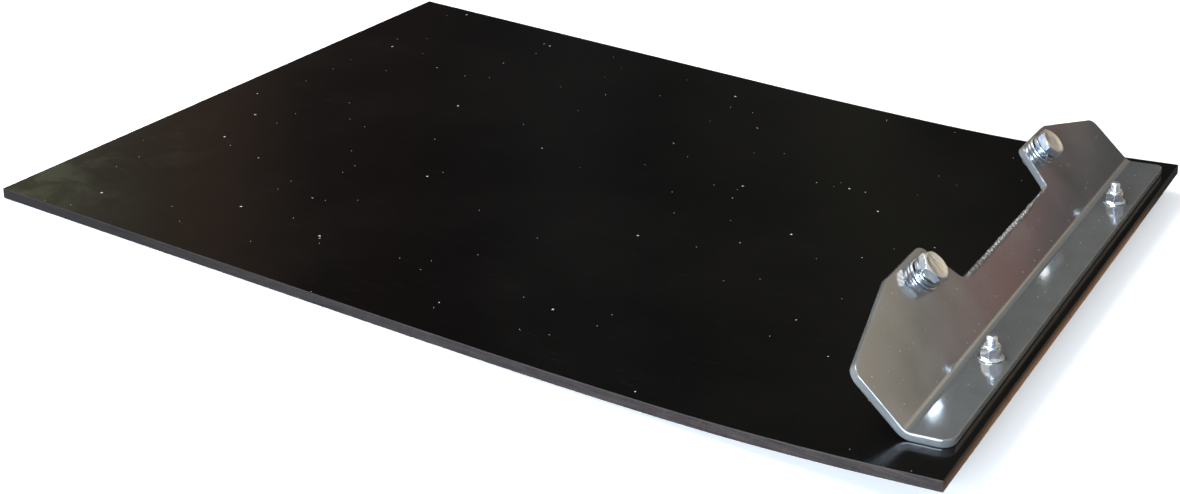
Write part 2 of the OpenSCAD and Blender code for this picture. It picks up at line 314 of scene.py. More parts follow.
def plate(outline, holes, thickness, edge_radius, place, grid, rough, middle_rings):
    """A flat blank with rounded edges, laid through place(u, v, height).

    rough(loop number, loop, arc length, height) is the extra inset of the cut edge.
    Returns points, faces, normals (NaN where not set) and a flag for edge faces.
    """
    profile = edge_profile(thickness, edge_radius, middle_rings)
    loops = [outline] + holes
    flat, heights, ring_starts, top_loops = [], [], [], []
    for number, loop in enumerate(loops):
        into = inward(loop, number > 0)
        lengths = np.linalg.norm(np.roll(loop, -1, axis=0) - loop, axis=1)
        arc = np.concatenate([[0], np.cumsum(lengths)[:-1]])
        starts = []
        for inset, height in profile:
            # top and bottom rings share one outline
            rough_height = thickness if height == 0 else height
            depth = inset + rough(number, loop, arc, rough_height)
            ring = loop + into * depth[:, None]
            if not starts:
                top_loops.append(ring)
            starts.append(len(flat))
            flat += ring.tolist()
            heights += [height] * len(loop)
        ring_starts.append(starts)

    # (top, bottom) vertex of each point of the triangulated face
    border_ids = [(starts[0] + i, starts[-1] + i)
                  for starts, loop in zip(ring_starts, loops) for i in range(len(loop))]
    points, triangles, origins = triangulate(top_loops, grid)
    face_ids = []
    for point, sources in zip(points, origins):
        on_border = [source for source in sources if source < len(border_ids)]
        if on_border:
            face_ids.append(border_ids[on_border[0]])
        else:
            face_ids.append((len(flat), len(flat) + 1))
            flat += [point.tolist()] * 2
            heights += [thickness, 0.0]

    faces = []
    for triangle in triangles:
        faces.append([face_ids[i][0] for i in triangle])
        faces.append([face_ids[i][1] for i in triangle[::-1]])
    flat_faces = len(faces)
    for number, (starts, loop) in enumerate(zip(ring_starts, loops)):
        way = 1 if material_on_left(loop, number > 0) else -1
        for upper, lower in zip(starts, starts[1:]):
            for i in range(len(loop)):
                j = (i + 1) % len(loop)
                faces.append([upper + i, lower + i, lower + j, upper + j][::way])

    flat, heights = np.array(flat), np.array(heights)
    placed, up = place(flat[:, 0], flat[:, 1], heights)
    normals = np.full((len(flat), 3), np.nan, np.float32)
    on_top, on_bottom = heights >= thickness - 1e-9, heights <= 1e-9
    normals[on_top] = up[on_top]
    normals[on_bottom] = -up[on_bottom]
    # the blank may be laid out mirrored; turn every face outward again
    a, b, c = faces[0]
    if float(np.cross(placed[b] - placed[a], placed[c] - placed[a]) @ up[a]) < 0:
        faces = [face[::-1] for face in faces]
    return placed, faces, normals, np.arange(len(faces)) >= flat_faces


# ---------------------------------------------------------------- round parts
# Places of the points within each sixth of a turn, crowded round the hexagon's corners.
SIXTH = np.array([0, .012, .025, .045, .08, .14, .22, .3, .4, .5, .6, .7, .78, .86, .92, .955,
                  .975, .988])
HEX_ANGLES = np.concatenate([(i + SIXTH) * PI / 3 for i in range(6)])


def circle_angles(count):
    return np.linspace(0, 2 * PI, count, endpoint=False)


def hexagon(angles, across_flats, rounding):
    """Radius of a hexagon with rounded corners; corners at 0, 60, ..."""
    phi = np.mod(angles, PI / 3) - PI / 6
    flat_end = (across_flats / 2 - rounding) * math.tan(PI / 6)
    centre = (across_flats / 2 - rounding) / math.cos(PI / 6)
    off = PI / 6 - np.abs(phi)
    arc = centre * np.cos(off) + np.sqrt(
        np.maximum(rounding * rounding - (centre * np.sin(off)) ** 2, 0))
    on_flat = np.abs(np.tan(phi)) * across_flats / 2 <= flat_end
    return np.where(on_flat, (across_flats / 2) / np.cos(phi), arc)


def turned(rows, angles, ring=False):
    """Surface through rows of (z, radius), the radius a number or one per angle.

    The ends are capped by fans; a ring joins its last row to its first instead.
    """
    n, count = len(angles), len(rows)
    points = [np.stack([r * np.cos(angles), r * np.sin(angles), np.full(n, z, float)], 1)
              for z, r in rows]
    here = np.arange(n)
    after = (here + 1) % n
    faces = []
    for k in range(count if ring else count - 1):
        a, b = k * n, ((k + 1) % count) * n
        faces += np.stack([a + here, a + after, b + after, b + here], 1).tolist()
    if not ring:
        first, last, end = count * n, count * n + 1, (count - 1) * n
        points.append(np.array([[0, 0, rows[0][0]], [0, 0, rows[-1][0]]], float))
        faces += [[first, j, i] for i, j in zip(here, after)]
        faces += [[last, end + i, end + j] for i, j in zip(here, after)]
    return np.concatenate(points), faces


def thread(angles, z, pitch, major, depth):
    """Radius of a right-hand thread at height z for each angle."""
    f = np.mod(z / pitch - angles / (2 * PI), 1.0)
    wave = np.abs(f - 0.5) * 2            # 1 at the crest, 0 at the root
    profile = np.clip((wave - 0.22) / (0.86 - 0.22), 0, 1)
    return major - depth * (1 - profile)


def put(points, seat, turn_deg=0.0, lift=0.0):
    """Turns points about their axis, lifts them along it and sets them on a seat."""
    origin, rotation = seat
    lifted = rot_z(math.radians(turn_deg)) @ points.T + np.array([[0.0], [0.0], [lift]])
    return (rotation @ lifted).T + origin


def radius_of(points):
    return np.hypot(points[:, 0], points[:, 1])


def angle_of(points):
    return np.arctan2(points[:, 1], points[:, 0])


# ---------------------------------------------------------------- shader graphs
class Graph:
    """Node tree of a material or world. Values pass between methods as sockets."""

    def __init__(self, owner, output_kind):
        owner.use_nodes = True
        self.tree = owner.node_tree
        self.tree.nodes.clear()
        self.surface = self.add(output_kind).inputs["Surface"]

    def add(self, kind, inputs=None, **props):
        node = self.tree.nodes.new(kind)
        for name, value in props.items():
            setattr(node, name, value)
        for key, value in (inputs or {}).items():
            self.feed(node.inputs[key], value)
        return node

    def feed(self, socket, value):
        if isinstance(value, bpy.types.NodeSocket):
            self.tree.links.new(value, socket)
        elif socket.type == "RGBA":
            socket.default_value = (*value, 1.0)
        else:
            socket.default_value = value

    def axes(self, vector):
        return self.add("ShaderNodeSeparateXYZ", {0: vector}).outputs

    def remap(self, value, over, to=(0.0, 1.0), smooth=True):
        """Carries the range over onto the range to."""
        inputs = {"Value": value, "From Min": over[0], "From Max": over[1],
                  "To Min": to[0], "To Max": to[1]}
        kind = "SMOOTHSTEP" if smooth else "LINEAR"
        return self.add("ShaderNodeMapRange", inputs, interpolation_type=kind).outputs[0]

    def math(self, operation, a, b=None):
        inputs = {0: a} if b is None else {0: a, 1: b}
        return self.add("ShaderNodeMath", inputs, operation=operation).outputs[0]

    def times(self, a, b):
        return self.math("MULTIPLY", a, b)

    def band(self, value, rise, fall, beyond=0.0):
        """1 between the ranges rise and fall, 0 before them and beyond after them."""
        return self.times(self.remap(value, rise), self.remap(value, fall, to=(1.0, beyond)))

    def mix(self, mask, base, colour, amount=None):
        """base where the mask is 0, colour where it is 1; amount weakens the mask."""
        if amount is not None:
            mask = self.times(mask, amount)
        inputs = {"Factor": mask, 6: base, 7: colour}
        return self.add("ShaderNodeMix", inputs, data_type="RGBA").outputs[2]

    def mix_shader(self, mask, base, other):
        return self.add("ShaderNodeMixShader", {0: mask, 1: base, 2: other}).outputs[0]

    def colour_ramp(self, factor, stops, lo, hi):
        """stops: (value, colour) with values from lo to hi."""
        node = self.add("ShaderNodeValToRGB", {0: factor})
        elements = node.color_ramp.elements
        for i, (value, colour) in enumerate(stops):
            position = (value - lo) / (hi - lo)
            element = elements[i] if i < 2 else elements.new(position)
            element.position = position
            element.color = (*colour, 1)
        return node.outputs[0]


class Surface(Graph):
    """A material with one principled shader and textures in object millimetres."""

    def __init__(self, name):
        self.material = bpy.data.materials.new(name)
        super().__init__(self.material, "ShaderNodeOutputMaterial")
        self.shader = self.add("ShaderNodeBsdfPrincipled")
        self.feed(self.surface, self.shader.outputs["BSDF"])
        coords = self.add("ShaderNodeTexCoord").outputs["Object"]
        self.mm = self.add("ShaderNodeVectorMath", {0: coords, "Scale": 1000.0},
                           operation="SCALE").outputs[0]
        self.normal = None

    def mapped(self, scale, rotation):
        inputs = {"Vector": self.mm, "Scale": scale, "Rotation": rotation}
        return self.add("ShaderNodeMapping", inputs).outputs[0]

    def noise(self, scale=1.0, detail=3, roughness=0.5, distortion=0.0, stretch=None, turn=0.0):
        """stretch scales the axes, after a turn about Z in radians."""
        vector = self.mm if stretch is None else self.mapped(stretch, (0, 0, turn))
        inputs = {"Vector": vector, "Scale": scale, "Detail": detail,
                  "Roughness": roughness, "Distortion": distortion}
        return self.add("ShaderNodeTexNoise", inputs).outputs[0]

    def specks(self, scale, radius, keep):
        """Round dots: one per kept Voronoi cell, radius in cell units."""
        cells = self.add("ShaderNodeTexVoronoi", {"Vector": self.mm, "Scale": scale},
                         voronoi_dimensions="2D").outputs
        dot = self.remap(cells["Distance"], over=(radius * 0.6, radius), to=(1.0, 0.0))
        chance = self.add("ShaderNodeSeparateColor", {0: cells["Color"]}).outputs[0]
        return self.times(dot, self.math("GREATER_THAN", chance, 1 - keep))

    def dust(self, *layers):
        """layers: (scale, radius, share of cells kept) of each size of speck."""
        total = self.specks(*layers[0])
        for layer in layers[1:]:
            total = self.math("MAXIMUM", total, self.specks(*layer))
        return total

    def bump(self, height, depth, strength):
        """Adds a bump over the earlier ones; depth in mm."""
        inputs = {"Height": height, "Distance": depth * MM, "Strength": strength}
        if self.normal is not None:
            inputs["Normal"] = self.normal
        self.normal = self.add("ShaderNodeBump", inputs).outputs[0]

    def finish(self, **inputs):
        for name, value in inputs.items():
            self.feed(self.shader.inputs[name.replace("_", " ")], value)
        self.feed(self.shader.inputs["Normal"], self.normal)
        return self.material


# ---------------------------------------------------------------- materials
def sheet_material():
    m = Surface("black gloss plastic")
    haze = m.noise(scale=0.006, detail=4, roughness=0.6)
    streak = m.noise(stretch=(0.012, 0.35, 0.35), turn=math.radians(8), detail=4, roughness=0.6)
    scratch_a = m.noise(stretch=(0.02, 2.2, 2.2), turn=math.radians(31), detail=2)
    scratch_b = m.noise(stretch=(0.03, 1.7, 1.7), turn=math.radians(-58), detail=2)
    scratches = m.math("MAXIMUM", m.remap(scratch_a, over=(0.715, 0.76)),
                       m.remap(scratch_b, over=(0.72, 0.77)))
    dust = m.dust((0.013, 0.0115, 0.42), (0.029, 0.016, 0.13), (0.06, 0.019, 0.10))
    # a cloudy lighter patch over the near corner at the -X end: painted sheen over a dull,
    # scuffed area
    at = m.axes(m.mm)
    cloud = m.noise(scale=0.03, detail=4, roughness=0.65, distortion=0.6)
    sheen_and_scuff = m.times(m.remap(at["X"], over=(-285, -205), to=(1, 0)),
                    m.remap(at["Y"], over=(-225, -40), to=(1, 0)))
    sheen_and_scuff = m.times(sheen_and_scuff, m.remap(cloud, over=(0.44, 0.66)))
    colour = m.mix(m.remap(haze, over=(0.35, 0.7)),
                   base=(0.0015, 0.0013, 0.0012), colour=(0.0025, 0.0021, 0.0018))
    # greyish-olive colour of the painted sheen over the scuffed patch
    colour = m.mix(sheen_and_scuff, colour, colour=(0.030, 0.030, 0.022), amount=0.6) \
        if False else m.mix(sheen_and_scuff, base=colour, colour=(0.030, 0.030, 0.022), amount=0.6)
    colour = m.mix(scratches, base=colour, colour=(0.2, 0.19, 0.18), amount=0.05)
    colour = m.mix(dust, base=colour, colour=(0.50, 0.48, 0.44), amount=0.9)
    roughness = m.math("ADD", m.remap(haze, over=(0.3, 0.75), to=(0.09, 0.2)),
                       m.remap(streak, over=(0.4, 0.75), to=(0.0, 0.035)))
    dust_roughness = 0.5
    roughness = m.math("ADD", roughness, m.times(dust, dust_roughness))
    m.bump(m.noise(scale=0.018, detail=2, roughness=0.4), depth=0.35, strength=0.5)
    m.bump(scratches, depth=0.02, strength=0.4)
    m.bump(dust, depth=0.15, strength=0.5)
    return m.finish(Base_Color=colour, Roughness=roughness, IOR=1.5)


def sawn_material():
    m = Surface("sawn plastic edge")
    long = m.noise(stretch=(0.05, 0.05, 2.4), detail=4, roughness=0.65)
    tooth = m.noise(stretch=(1.6, 1.6, 0.25), roughness=0.6)
    blotch = m.noise(scale=0.03, roughness=0.6)
    colour = m.mix(m.remap(long, over=(0.3, 0.7)),
                   base=(0.012, 0.0085, 0.0075), colour=(0.046, 0.033, 0.029))
    colour = m.mix(m.remap(tooth, over=(0.45, 0.75)),
                   base=colour, colour=(0.064, 0.049, 0.044), amount=0.35)
    colour = m.mix(m.remap(blotch, over=(0.5, 0.75)),
                   base=colour, colour=(0.018, 0.0145, 0.013), amount=0.5)
    # painted shade: the cut edges darker towards -X
    at = m.axes(m.mm)
    painted_edge_shade = m.remap(at["X"], over=(-230, 190), to=(0.80, 0.0), smooth=False)
    colour = m.mix(painted_edge_shade, base=colour, colour=(0.010, 0.008, 0.007))
    # the +X end face carries a painted reflection: a warm brown floor, strongest low down and in
    # the middle, near black elsewhere
    normal = m.axes(m.add("ShaderNodeNewGeometry").outputs["Normal"])
    middle = m.times(m.remap(at["Y"], over=(-240, -120), to=(0.45, 1)),
                     m.remap(at["Y"], over=(90, 190), to=(1, 0)))
    low = m.remap(at["Z"], over=(14.6, 20.4), to=(1.0, 0.12))
    glow = m.times(m.times(middle, low), m.remap(long, over=(0.25, 0.6), to=(0.5, 1.0)))
    # painted reflection colour of the +X end face
    warm = m.mix(glow, base=(0.006, 0.005, 0.004), colour=(0.27, 0.120, 0.042))
    colour = m.mix(m.remap(normal["X"], over=(0.4, 0.8)), base=colour, colour=warm)
    m.bump(long, depth=0.12, strength=0.6)
    m.bump(tooth, depth=0.1, strength=0.6)
    return m.finish(Base_Color=colour, Specular_IOR_Level=0.22,
                    Roughness=m.remap(tooth, over=(0.3, 0.7), to=(0.42, 0.62)))


def paint_material():
    m = Surface("grey gloss paint")
    peel = m.noise(scale=0.55, detail=2, roughness=0.45)
    fine = m.noise(scale=2.2, detail=2)
    cloud = m.noise(scale=0.02, roughness=0.55)
    dust = m.dust((0.06, 0.026, 0.35), (0.16, 0.045, 0.14))
    colour = m.mix(m.remap(cloud, over=(0.35, 0.65)),
                   base=(0.092, 0.092, 0.088), colour=(0.116, 0.116, 0.111))
    colour = m.mix(dust, base=colour, colour=(0.5, 0.49, 0.46), amount=0.6)
    # torn paint along the notch's lower edge, found by the distance up the leg
    at = m.axes(m.mm)
    leg_x, leg_z = float(LEG_TURN[0, 0]), float(LEG_TURN[2, 0])
    up = m.math("SUBTRACT", m.times(at["X"], -leg_x), m.times(at["Z"], leg_z))
    up = m.math("ADD", up, float(leg_x * LEG_AT[0] + leg_z * LEG_AT[2]))
    torn = m.noise(stretch=(0.5, 0.75, 0.5), roughness=0.6)
    burr = m.times(m.band(up, rise=(NOTCH - 3.2, NOTCH - 0.4), fall=(NOTCH + 1.0, NOTCH + 1.6)),
                   m.band(at["Y"], rise=(-58, -48), fall=(52, 66)))
    chips = m.times(burr, m.remap(torn, over=(0.53, 0.60)))
    colour = m.mix(chips, base=colour, colour=(0.55, 0.53, 0.50), amount=0.8)
    m.bump(peel, depth=0.05, strength=0.22)
    m.bump(fine, depth=0.012, strength=0.18)
    m.bump(dust, depth=0.12, strength=0.5)
    m.bump(m.times(burr, torn), depth=0.9, strength=0.8)
    return m.finish(Base_Color=colour, IOR=2.25, Coat_Weight=0.35, Coat_Roughness=0.06,
                    Roughness=m.remap(cloud, over=(0.3, 0.7), to=(0.10, 0.15)))


def zinc_material(name, warm, dark=0.0, rough=0.0, ripple=0.0):
    """warm widens the yellowish areas; ripple is the depth of an extra wave in mm."""
    m = Surface(name)
    patches = m.noise(scale=0.16, roughness=0.6)
    grain = m.noise(scale=1.2, roughness=0.6)
    brush = m.noise(stretch=(0.3, 3.0, 3.0), turn=0.6, roughness=0.6)
    colour = m.mix(m.remap(patches, over=(0.5 - warm, 0.68 - warm)),
                   base=(0.66 - dark, 0.71 - dark, 0.76 - dark),
                   colour=(0.83 - dark, 0.79 - dark, 0.70 - dark))
    colour = m.mix(m.remap(grain, over=(0.66, 0.78)),
                   base=colour, colour=(0.32, 0.32, 0.33), amount=0.35)
    roughness = m.math("ADD", m.remap(patches, over=(0.3, 0.7), to=(0.14 + rough, 0.24 + rough)),
                       m.remap(brush, over=(0.4, 0.7), to=(0.0, 0.08)))
    m.bump(brush, depth=0.012, strength=0.35)
    m.bump(grain, depth=0.03, strength=0.25)
    if ripple:
        inputs = {"Vector": m.mapped(scale=(1, 1, 1), rotation=(0.2, 0.4, 0.9)), "Scale": 0.15,
                  "Distortion": 7.0, "Detail": 2.0, "Detail Scale": 0.5}
        wave = m.add("ShaderNodeTexWave", inputs, wave_type="BANDS")
        m.bump(wave.outputs["Fac"], depth=ripple, strength=0.8)
    return m.finish(Base_Color=colour, Roughness=roughness, Metallic=1.0)


def nylon_material():
    m = Surface("nylon")
    grain = m.noise(scale=0.8, roughness=0.6)
    colour = m.mix(m.remap(grain, over=(0.3, 0.7)),
                   base=(0.55, 0.57, 0.6), colour=(0.70, 0.71, 0.72))
    m.bump(grain, depth=0.03, strength=0.4)
    return m.finish(Base_Color=colour,
                    Roughness=m.remap(grain, over=(0.3, 0.7), to=(0.38, 0.52)))


SHEET = sheet_material()
SAWN = sawn_material()
PAINT = paint_material()
ZINC_BOLT = zinc_material("zinc plate bolt", warm=0.06, rough=0.12, ripple=0.06)
ZINC_NUT = zinc_material("zinc plate nut", warm=0.0)
ZINC_WASHER = zinc_material("zinc plate washer", warm=-0.03, dark=0.04)
NYLON = nylon_material()


# ---------------------------------------------------------------- sheet
def sheet_rough(number, loop, arc, height):
    """Saw marks on the outer edge; the holes are clean."""
    if number:
        return np.zeros(len(loop))
    tooth = (0.05 * smooth_noise(arc + 0.8 * height, 3, 1.6)
             + 0.05 * smooth_noise(arc + 0.3 * height, 4, 3.1))
    wander = 0.10 * (1 + smooth_noise(arc, 5, 55.0)) * 0.5
    layer = (0.04 * smooth_noise(np.full(len(loop), height), 9, 0.7)
             + 0.04 * smooth_noise(arc * 0.15 + height * 3, 11, 1.0))
    at_top = 0.5 if height >= PANEL_T - 1e-6 else 1.0
    return np.maximum(0.0, 0.09 + tooth + layer) * at_top + wander


def place_on_sheet(u, v, height):
    x, z, slope = underside(u)
    across = np.zeros_like(slope)
    up = np.stack([-np.sin(slope), across, np.cos(slope)], 1)
    return np.stack([x - END_X / 2 - height * np.sin(slope), v,
                     z + height * np.cos(slope)], 1), up


def build_sheet():
    half = PANEL_W / 2
    start = 0.02
    outline = rounded([(start, -half), (PANEL_LEN, -half), (PANEL_LEN, half), (start, half)],
                      radii=[0.6, 0.8, 0.8, 0.6], steps=4)
    outline = resample(outline, lambda point: 1.5)
    holes = [round_hole(PANEL_LEN + STUD_X, y, radius=3.35, count=40) for y in STUD_Y.values()]
    # finer steps where the sheet curves
    us = np.unique(np.concatenate([np.arange(6, STRAIGHT, 12),
                                   np.arange(STRAIGHT, PANEL_LEN - 4, 4.0)]))
    grid = grid_points(us, np.linspace(-half + 6, half - 6, 38))
    shape = plate(outline, holes, PANEL_T, 0.35, place_on_sheet, grid, sheet_rough,
                  middle_rings=7)
    plate_object("sheet", shape, [SHEET, SAWN], "poly_panel")


# ---------------------------------------------------------------- bracket
# The blank is (u, v): u from the foot's +X edge over the bend and up the leg, v along +Y.
BEND_START = FOOT_W - BEND_TANGENT
BEND_SPAN = (BEND_R + PLATE_T / 2) * BEND
BEND_END = BEND_START + BEND_SPAN
LEG_ZERO = BEND_END - BEND_TANGENT         # u at leg height 0
FOOT_DISH = math.radians(4.0)
BLANK_T = PLATE_T - SEAT_GAP

# (u, v, corner radius)
BRACKET_OUTLINE = [
    (0, 0, 8), (LEG_ZERO + 39, 0, 8), (LEG_ZERO + 58.6, 79.6, 5), (LEG_ZERO + 58.6, 127, 8),
    (LEG_ZERO + NOTCH, 140.6, 6), (LEG_ZERO + NOTCH, 293.6, 3),
    (LEG_ZERO + 55.8, 301.6, 6), (LEG_ZERO + 55.8, 346.7, 5),
    (LEG_ZERO + 35.7, BRACKET_LEN, 8), (0, BRACKET_LEN, 5)]


def notch_nicks():
    """(v, width, depth) of the nicks in the notch's lower edge."""
    random = np.random.RandomState(21)
    nicks = []
    v = 168.0
    while v < 262.0:
        width = random.uniform(0.6, 1.3)
        nicks.append((v, width, random.uniform(0.6, 1.9)))
        v += random.uniform(2.4, 4.8)
    return nicks + [(284.0, 1.4, 0.7), (289.5, 1.0, 0.5), (147.0, 1.2, 0.3)]


NICKS = notch_nicks()


def bracket_rough(number, loop, arc, height):
    if number:
        return 0.03 * (1 + smooth_noise(arc + 0.4 * height, 30 + number, 0.9))
    base = (0.03 * (1 + smooth_noise(arc + 0.5 * height, 12, 0.9))
            + 0.05 * (1 + smooth_noise(arc, 13, 9.0)))
    u, v = loop[:, 0], loop[:, 1]
    on_notch = (np.abs(u - (LEG_ZERO + NOTCH)) < 2.5) & (v > 139) & (v < 294)
    lean = (PLATE_T - height) * 0.22
    cut = np.zeros(len(loop))
    for nick_v, width, depth in NICKS:
        cut += depth * np.exp(-((v - nick_v - lean) / width) ** 2)
    cut += (0.16 * (1 + smooth_noise(v + lean, 17, 1.3))
            * np.clip((v - 160) / 10, 0, 1) * np.clip((266 - v) / 10, 0, 1))
    return base + np.where(on_notch, cut * (0.45 + 0.55 * height / PLATE_T), 0)


def bracket_spacing(point):
    """Finer steps at the ends of the bend and along the notch."""
    u, v = point
    if BEND_START - 0.5 < u < BEND_END + 0.5 and (v < 1 or v > BRACKET_LEN - 1):
        return 0.4
    if LEG_ZERO + 28 < u < LEG_ZERO + 33 and 138 < v < 296:
        return 0.55
    return 1.6


def place_on_bracket(u, v, height):
    parts = [u <= BEND_START, u < BEND_END]
    turn = np.clip((u - BEND_START) / BEND_SPAN, 0, 1) * BEND
    radius = BEND_R + BLANK_T - height
    up_leg = u - LEG_ZERO
    below = BLANK_T - height
    x = np.select(parts, [-MARGIN - u, BEND_X + BEND_TANGENT - radius * np.sin(turn)],
                  BEND_X - up_leg * math.cos(BEND) - below * math.sin(BEND))
    z = np.select(parts, [PLATE_T - BLANK_T + height, PLATE_T + BEND_R - radius * np.cos(turn)],
                  PLATE_T + up_leg * math.sin(BEND) - below * math.cos(BEND))
    # the foot's top-face normals tilt by FOOT_DISH, fading out early in the bend; the face
    # itself stays flat
    facing = turn - FOOT_DISH * np.clip(1.0 - turn / 0.35, 0, 1) * (height > BLANK_T * 0.5)
    points = np.stack([x, v - BRACKET_LEN / 2 + BRACKET_SHIFT, z], 1)
    up = np.stack([np.sin(facing), np.zeros_like(facing), np.cos(facing)], 1)
    return points @ END_TURN.T + END_AT, up @ END_TURN.T


def build_bracket():
    outline = rounded([(u, v) for u, v, _ in BRACKET_OUTLINE],
                      radii=[radius for _, _, radius in BRACKET_OUTLINE], steps=14)
    outline = resample(outline, bracket_spacing)
    holes = [round_hole(u, y - BRACKET_SHIFT + BRACKET_LEN / 2, radius, count=64)
             for u, radius, places in ((LEG_ZERO + EAR_UP, 5.1, EAR_Y),
                                       (-STUD_X - MARGIN, 3.25, STUD_Y))
             for y in places.values()]
    us = np.concatenate([np.arange(3, BEND_START - 2, 5.0),
                         np.linspace(BEND_START, BEND_END, 17),
                         np.arange(BEND_END + 4, LEG_ZERO + 58, 6.0)])
    grid = grid_points(us, np.arange(3, BRACKET_LEN - 2, 6.0))
    shape = plate(outline, holes, BLANK_T, 0.55, place_on_bracket, grid, bracket_rough,
                  middle_rings=4)
    plate_object("bracket", shape, [PAINT], "end_bracket")


# ---------------------------------------------------------------- hardware
# Rows are (z, radius); z = 0 is the face the part bears on.
def mounting_bolt(which, turn_deg):
    head, length, pitch = 5.4, 18.0, 1.5
    hexa = hexagon(HEX_ANGLES, across_flats=17.0, rounding=0.35)
    rows = [(-length, 0.6), (-length, 2.4), (-length, 3.6)]
    for z in np.arange(-length, -2.6, pitch / 10):
        point = 3.75 + (z + length)
        radius = thread(HEX_ANGLES, z, pitch, major=4.93, depth=0.90)
        run_out = np.clip((z + 4.2) / 1.4, 0, 1)
        radius = radius * (1 - run_out) + 4.55 * run_out
        rows.append((z, np.minimum(radius, point)))
    # shank and washer face
    rows += [(-2.4, 4.6), (-1.2, 4.85), (-0.35, 4.93), (-0.05, 5.1),
             (0.0, 5.4), (0.0, 7.3), (0.03, 7.75), (0.12, 7.88), (0.36, 7.9)]
    # hexagon, from its eased underside to its chamfered top
    rows += [(z, np.minimum(hexa, limit))
             for z, limit in ((0.42, 8.2), (0.5, 8.6), (0.62, 9.1), (0.8, 9.5))]
    rows += [(z, hexa) for z in np.linspace(1.0, head - 1.05, 6)]
    for k in np.linspace(0, 1, 9)[1:]:
        z = head - 1.02 * (1 - k)
        rows.append((z - 0.02 * k, np.minimum(hexa, 8.05 + (head - z) * math.sqrt(3))))
    # shallow dish in the top
    rows += [(head - drop, radius) for drop, radius in (
        (0, 7.92), (0, 7.5), (0.03, 6.9), (0.14, 6.2), (0.22, 5.2), (0.25, 3.6), (0.25, 1.8),
        (0.24, 0.6))]
    points, faces = turned(rows, HEX_ANGLES)
    # the cold-formed top is never quite flat
    top = points[:, 2] > head - 0.3
    uneven = 1 + smooth_noise(points[top, 0] + 3 * points[top, 1], 41, 3.0)
    points[top, 2] -= 0.05 * uneven * np.clip((7.4 - radius_of(points[top])) / 2, 0, 1)
    hardware_object("hex_bolt_" + which, put(points, at_ear(which), turn_deg, WASHER_STACK),
                    faces, ZINC_BOLT, which + "_bolt", "mounting_bolt_" + which, 38)


def flat_washer(which):
    outer, bore, thick = 9.95, 5.3, 1.98
    rows = [(0.02, bore + 0.35), (0.02, outer - 0.5), (0.08, outer - 0.15), (0.25, outer),
            (thick * 0.5, outer + 0.03), (thick - 0.45, outer), (thick - 0.2, outer - 0.12),
            (thick - 0.04, outer - 0.4), (thick, outer - 0.8), (thick, bore + 0.5),
            (thick - 0.05, bore + 0.2), (thick - 0.2, bore + 0.03), (thick * 0.5, bore),
            (0.2, bore), (0.07, bore + 0.12)]
    points, faces = turned(rows, circle_angles(96), ring=True)
    points[:, :2] *= (1 + 0.0015 * smooth_noise(angle_of(points) * 10, 5, 2.0))[:, None]
    hardware_object("flat_washer_ring_" + which, put(points, at_ear(which)), faces, ZINC_WASHER,
                    which + "_washers", "flat_washer_" + which, 40)


def lock_washer(which, turn_deg):
    """A split ring that climbs by rise from one end to the other."""
    bore, outer, thick, rise = 5.15, 8.95, 2.2, 1.12
    base = 2.02
    cut = 0.28                             # corner chamfer
    ease = cut * .3
    section = [(bore + cut, 0), (outer - cut, 0), (outer - ease, ease), (outer, cut),
               (outer, thick - cut), (outer - ease, thick - ease), (outer - cut, thick),
               (bore + cut, thick), (bore + ease, thick - ease), (bore, thick - cut),
               (bore, cut), (bore + ease, ease)]
    half_gap = math.radians(7.5)
    angles = np.linspace(half_gap, 2 * PI - half_gap, 110)
    n, last = len(section), len(angles) - 1
    points = [(r * math.cos(a), r * math.sin(a), base + z + rise * (i / last))
              for i, a in enumerate(angles) for r, z in section]
    faces = []
    for i in range(last):
        for k in range(n):
            j = (k + 1) % n
            faces.append([i * n + k, i * n + j, (i + 1) * n + j, (i + 1) * n + k])
    faces.append(list(range(n))[::-1])
    faces.append([last * n + k for k in range(n)])
    hardware_object("split_ring_" + which, put(np.array(points), at_ear(which), turn_deg), faces,
                    ZINC_WASHER, which + "_washers", "lock_washer_" + which, 35)


def flange_nut(which, turn_deg):
    hexa = hexagon(HEX_ANGLES, across_flats=10.0, rounding=0.22)

    def outer(z):
        """The largest of the flared flange, the chamfered hexagon and the collar."""
        flare = 7.0 - max(0.0, z - 0.86) * 3.1 if z < 1.35 else 5.48 - (z - 1.35) * 1.6
        chamfered = np.minimum(hexa, 4.86 + (6.95 - z) * 0.95)
        return np.maximum(np.maximum(flare, chamfered), 4.84)

    rows = [(0.0, 3.5), (0.0, 6.6), (0.05, 6.9), (0.16, 7.05), (0.32, 7.1), (0.6, 7.1),
            (0.76, 7.06), (0.84, 6.98)]
    for lo, hi, count in ((0.9, 1.8, 9), (2.1, 5.4, 6), (5.6, 6.94, 10)):
        rows += [(z, outer(z)) for z in np.linspace(lo, hi, count)]
    # collar, then down through the bore
    rows += [(7.0, 4.84), (7.2, 4.82), (7.45, 4.76), (7.66, 4.64), (7.8, 4.48), (7.88, 4.3),
             (7.9, 4.18), (7.86, 4.06), (7.7, 4.0), (7.32, 3.98), (7.0, 3.98), (6.9, 3.7),
             (6.7, 3.5), (5.2, 3.12), (2.0, 3.1), (0.5, 3.1), (0.15, 3.3)]
    points, faces = turned(rows, HEX_ANGLES, ring=True)
    # the flange rim is slightly uneven
    rim = (points[:, 2] < 1.1) & (radius_of(points) > 6)
    uneven = 1 + smooth_noise(angle_of(points[rim]) * 8, 8, 1.5)
    points[rim, :2] *= (1 - 0.004 * uneven)[:, None]
    hardware_object("lock_nut_" + which, put(points, at_stud(which), turn_deg, lift=0.005),
                    faces, ZINC_NUT, "panel_assembly", "flange_nut_" + which, 34)


def nylon_ring(which):
    rows = [(5.64, 3.12), (5.66, 3.25), (6.72, 3.5), (6.98, 3.85), (7.06, 3.8), (7.1, 3.6),
            (7.06, 3.25), (6.95, 3.08), (6.4, 3.04)]
    points, faces = turned(rows, circle_angles(72), ring=True)
    hardware_object("nylon_ring_" + which, put(points, at_stud(which)), faces, NYLON,
                    "panel_assembly", "nylon_insert_" + which, 35)


